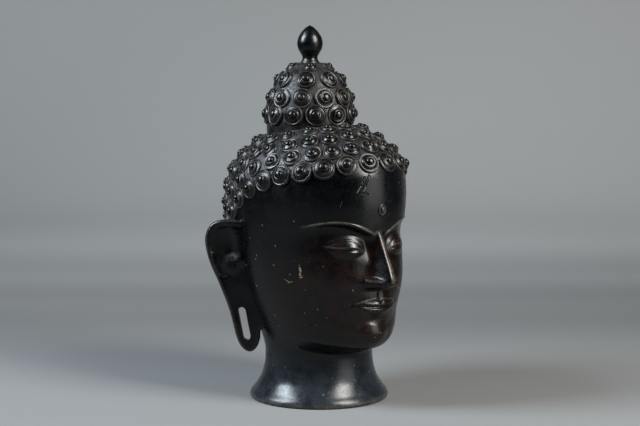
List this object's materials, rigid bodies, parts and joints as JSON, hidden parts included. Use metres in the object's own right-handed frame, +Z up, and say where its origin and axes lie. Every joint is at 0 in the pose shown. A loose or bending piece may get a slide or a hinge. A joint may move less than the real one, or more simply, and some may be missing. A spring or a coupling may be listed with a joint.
{
  "type": "buddha head sculpture",
  "caption": "Cast bronze Buddha head with snail curls, a domed hair knot topped by a bud, long slotted ears and a flared neck that is its foot.",
  "frame": {"origin": "centre of the flat underside of the neck", "axes": "+Z up along the height of the head; the face looks along -Y; +X is the head's own left side"},
  "size_m": [0.212, 0.2355, 0.3805],
  "materials": {
    "bronze": "near-black patinated cast bronze, polished on the face and worn bright on the raised lines"
  },
  "bodies": {
    "root": {"buddha_head": "bronze"}
  },
  "joints": []
}
